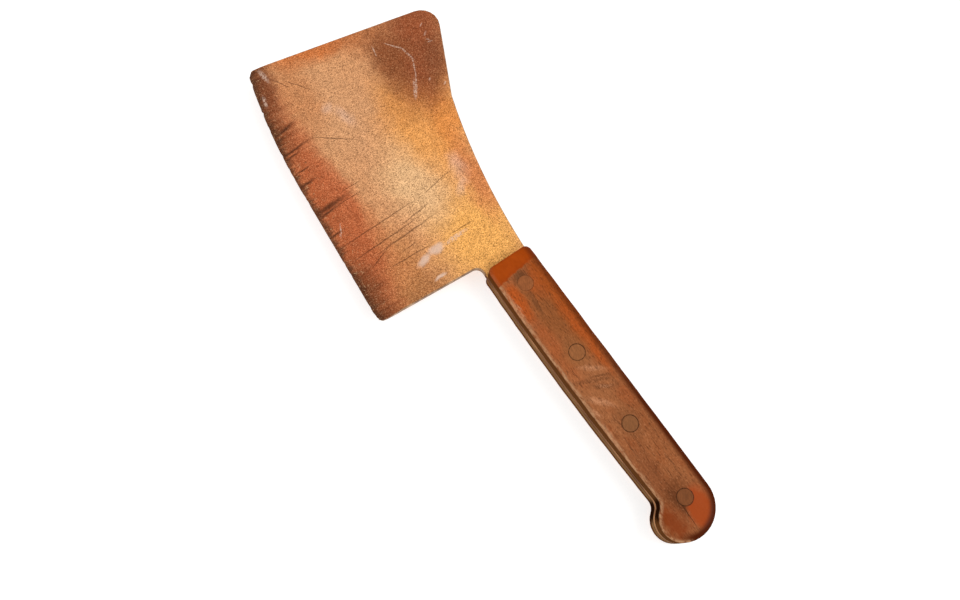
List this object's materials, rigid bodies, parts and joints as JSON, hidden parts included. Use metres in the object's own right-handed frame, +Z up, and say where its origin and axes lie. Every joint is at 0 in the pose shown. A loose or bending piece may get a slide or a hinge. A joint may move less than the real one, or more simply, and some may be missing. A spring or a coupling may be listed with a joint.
{
  "type": "meat cleaver",
  "caption": "Butcher's cleaver: a heavy forged blade with a hollow spine and a full tang between two wooden scales, riveted, with a beaked pommel.",
  "frame": {"origin": "centre of the cleaver's outline seen from above, at the outer face of the lower scale, on which it lies", "axes": "+X towards the butt of the handle, +Y towards the spine, +Z up through the thickness; the cutting edge faces -Y"},
  "size_m": [0.3802, 0.143, 0.0242],
  "materials": {
    "steel": "carbon steel with a mottled brown and gold patina, finely speckled, scratched, pale at its worn corners",
    "wood": "red-brown hardwood worn matt, with remains of an orange varnish at both ends",
    "rivet_metal": "brass tarnished brown, flush with the wood"
  },
  "bodies": {
    "root": {"blade": "steel", "upper_scale": "wood", "lower_scale": "wood", "rivet_sleeve_1": "rivet_metal", "rivet_sleeve_2": "rivet_metal", "rivet_sleeve_3": "rivet_metal", "rivet_sleeve_4": "rivet_metal", "rivet_pin_1": "rivet_metal", "rivet_pin_2": "rivet_metal", "rivet_pin_3": "rivet_metal", "rivet_pin_4": "rivet_metal"}
  },
  "joints": []
}
